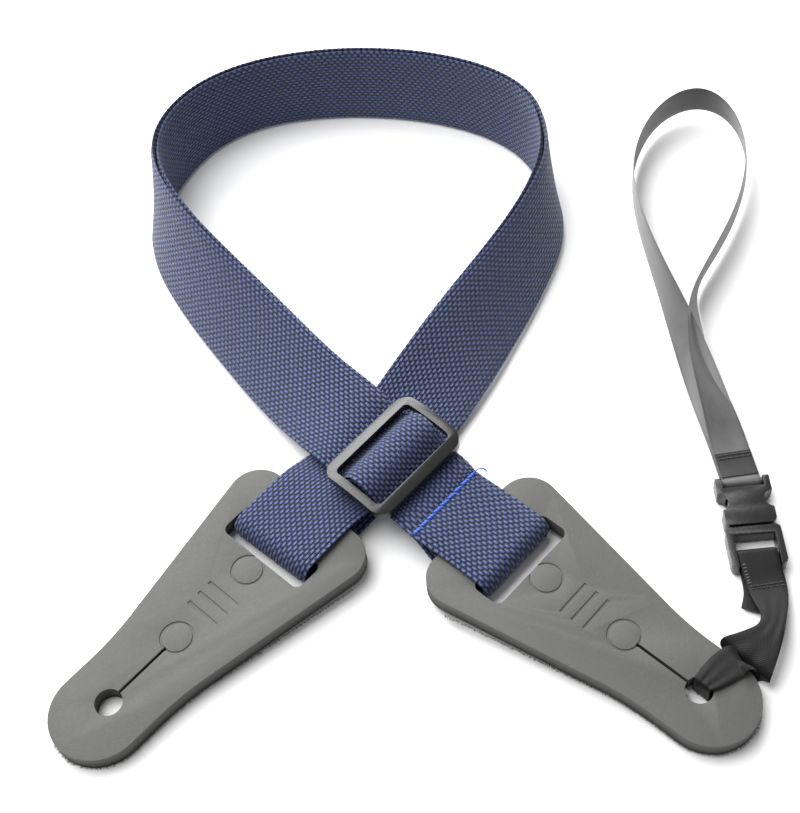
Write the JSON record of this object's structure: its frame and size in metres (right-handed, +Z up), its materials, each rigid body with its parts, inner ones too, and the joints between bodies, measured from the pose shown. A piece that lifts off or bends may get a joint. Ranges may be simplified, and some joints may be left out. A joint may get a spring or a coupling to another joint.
{
  "type": "ukulele strap",
  "caption": "Doubled navy webbing strap for a small stringed instrument, with a slider, leather button tabs and a headstock tie with a side-release buckle.",
  "frame": {"origin": "centre of the base of the whole strap as it lies", "axes": "+Z up from the surface it lies on; +Y from the button tabs towards the far end of the webbing loop; +X towards the headstock tie"},
  "size_m": [0.1934, 0.2252, 0.026],
  "materials": {
    "navy_webbing": "ribbed woven polypropylene webbing, slightly shiny",
    "black_leather": "smooth black grain leather with raw fibrous edges",
    "black_plastic": "satin moulded plastic",
    "black_ribbon": "fine woven nylon ribbon with a soft sheen",
    "blue_thread": "bright blue sewing thread",
    "dark_thread": "black sewing thread"
  },
  "bodies": {
    "strap": {"webbing_strap": "navy_webbing", "right_end_stitching": "blue_thread", "slider_loop_stitching": "dark_thread", "loose_thread_end": "blue_thread"},
    "slider": {"slider": "black_plastic"},
    "left_tab": {"left_leather_tab": "black_leather"},
    "right_tab": {"right_leather_tab": "black_leather", "lower_tie_ribbon": "black_ribbon", "lower_tie_stitching": "dark_thread", "buckle_plug": "black_plastic"},
    "left_prong": {"plug_prong_left": "black_plastic"},
    "right_prong": {"plug_prong_right": "black_plastic"},
    "socket": {"buckle_socket": "black_plastic", "tie_loop_ribbon": "black_ribbon", "tie_loop_stitching": "dark_thread"}
  },
  "joints": [
    {"name": "slider_rock", "type": "hinge", "parent": "strap", "child": "slider", "pos_m": [-0.01244, -0.03114, 0.01201], "axis": [-0.7166, -0.692, -0.0872], "range_deg": [-2, 2]},
    {"name": "left_tab_shift", "type": "slide", "parent": "strap", "child": "left_tab", "axis": [0.7007, 0.713, 0.0244], "range_m": [-0.0006, 0.0014]},
    {"name": "right_tab_shift", "type": "slide", "parent": "strap", "child": "right_tab", "axis": [-0.7191, 0.6945, 0.0244], "range_m": [-0.0005, 0.0016]},
    {"name": "left_prong_press", "type": "hinge", "parent": "right_tab", "child": "left_prong", "pos_m": [0.07357, -0.05328, 0.0027], "axis": [0, 0, 1], "range_deg": [-8, 0], "stiffness_Nm_per_rad": 0.05},
    {"name": "right_prong_press", "type": "hinge", "parent": "right_tab", "child": "right_prong", "pos_m": [0.07977, -0.05312, 0.0027], "axis": [0, 0, 1], "range_deg": [0, 8], "stiffness_Nm_per_rad": 0.05},
    {"name": "buckle_release", "type": "slide", "parent": "right_tab", "child": "socket", "axis": [-0.0262, 0.9997, 0], "range_m": [0, 0.014]}
  ]
}
